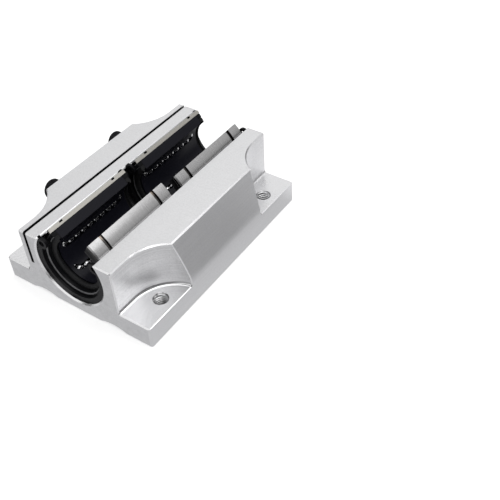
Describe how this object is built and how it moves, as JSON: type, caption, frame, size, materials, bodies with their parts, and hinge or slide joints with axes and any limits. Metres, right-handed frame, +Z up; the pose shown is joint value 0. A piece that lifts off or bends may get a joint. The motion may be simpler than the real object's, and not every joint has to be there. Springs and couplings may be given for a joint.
{
  "type": "linear bearing block",
  "caption": "Flanged aluminium bearing block with paired open ball bearings for a supported round shaft, clamped by a slit ear with adjusting screws.",
  "frame": {"origin": "middle of the flat mounting face", "axes": "+Z up from the mounting face towards the open slot, +Y along the shaft, +X across the flange, away from the adjusting screws"},
  "size_m": [0.072, 0.098, 0.0342],
  "materials": {
    "housing_aluminium": "satin clear anodised, blasted, with milled faces",
    "sleeve_steel": "ground bearing steel",
    "cage_resin": "black moulded resin with a faint sheen",
    "ball_steel": "polished bearing balls",
    "end_ring_black": "black steel ring",
    "seal_rubber": "black lip rubber",
    "snap_ring_black": "black phosphated spring steel",
    "screw_black": "black oxide"
  },
  "bodies": {
    "block": {"housing_block": "housing_aluminium", "sleeve_front": "sleeve_steel", "sleeve_rear": "sleeve_steel", "cage_front": "cage_resin", "cage_rear": "cage_resin", "balls_front_upper_left": "ball_steel", "balls_front_upper_right": "ball_steel", "balls_front_lower_left": "ball_steel", "balls_front_lower_right": "ball_steel", "balls_rear_upper_left": "ball_steel", "balls_rear_upper_right": "ball_steel", "balls_rear_lower_left": "ball_steel", "balls_rear_lower_right": "ball_steel", "end_ring_front_outer": "end_ring_black", "end_ring_front_inner": "end_ring_black", "end_ring_rear_outer": "end_ring_black", "end_ring_rear_inner": "end_ring_black", "seal_front_outer": "seal_rubber", "seal_front_inner": "seal_rubber", "seal_rear_outer": "seal_rubber", "seal_rear_inner": "seal_rubber", "snap_ring_front_outer": "snap_ring_black", "snap_ring_front_inner": "snap_ring_black", "snap_ring_rear_outer": "snap_ring_black", "snap_ring_rear_inner": "snap_ring_black"},
    "front_screw": {"adjusting_screw_front": "screw_black"},
    "rear_screw": {"adjusting_screw_rear": "screw_black"}
  },
  "joints": [
    {"name": "front_screw_turn", "type": "hinge", "parent": "block", "child": "front_screw", "pos_m": [-0.031, -0.0199, 0.0246], "axis": [1, 0, 0], "range_deg": [-270, 30]},
    {"name": "rear_screw_turn", "type": "hinge", "parent": "block", "child": "rear_screw", "pos_m": [-0.031, 0.0185, 0.0246], "axis": [1, 0, 0], "range_deg": [-270, 30]}
  ]
}
